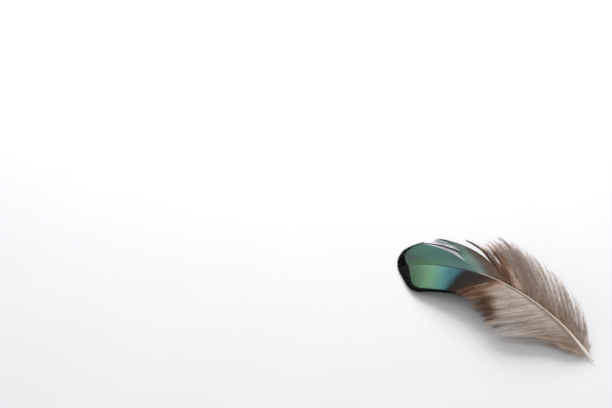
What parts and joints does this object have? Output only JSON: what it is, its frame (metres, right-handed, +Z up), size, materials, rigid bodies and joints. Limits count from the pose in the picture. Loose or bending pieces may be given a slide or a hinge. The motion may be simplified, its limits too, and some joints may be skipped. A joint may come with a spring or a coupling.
{
  "type": "feather",
  "caption": "Curved pheasant body feather lying down: a green, black-edged vane with parted slips on one side, brown barbs and soft taupe down along a pale arched shaft.",
  "frame": {"origin": "centre of the bounding box's bottom, on the surface the feather lies on", "axes": "+X from the vane's tip towards the quill, +Y to the side with the parted slips, +Z up from the surface it lies on"},
  "size_m": [0.0622, 0.0304, 0.0079],
  "materials": {
    "vane": "iridescent green barbs, teal to dark near the shaft, black at the tip's margin, brown towards the down",
    "down": "soft matte taupe down with brown ends",
    "shaft": "satin cream horn, dark along the green vane"
  },
  "bodies": {
    "root": {"feather": "vane"}
  },
  "joints": []
}
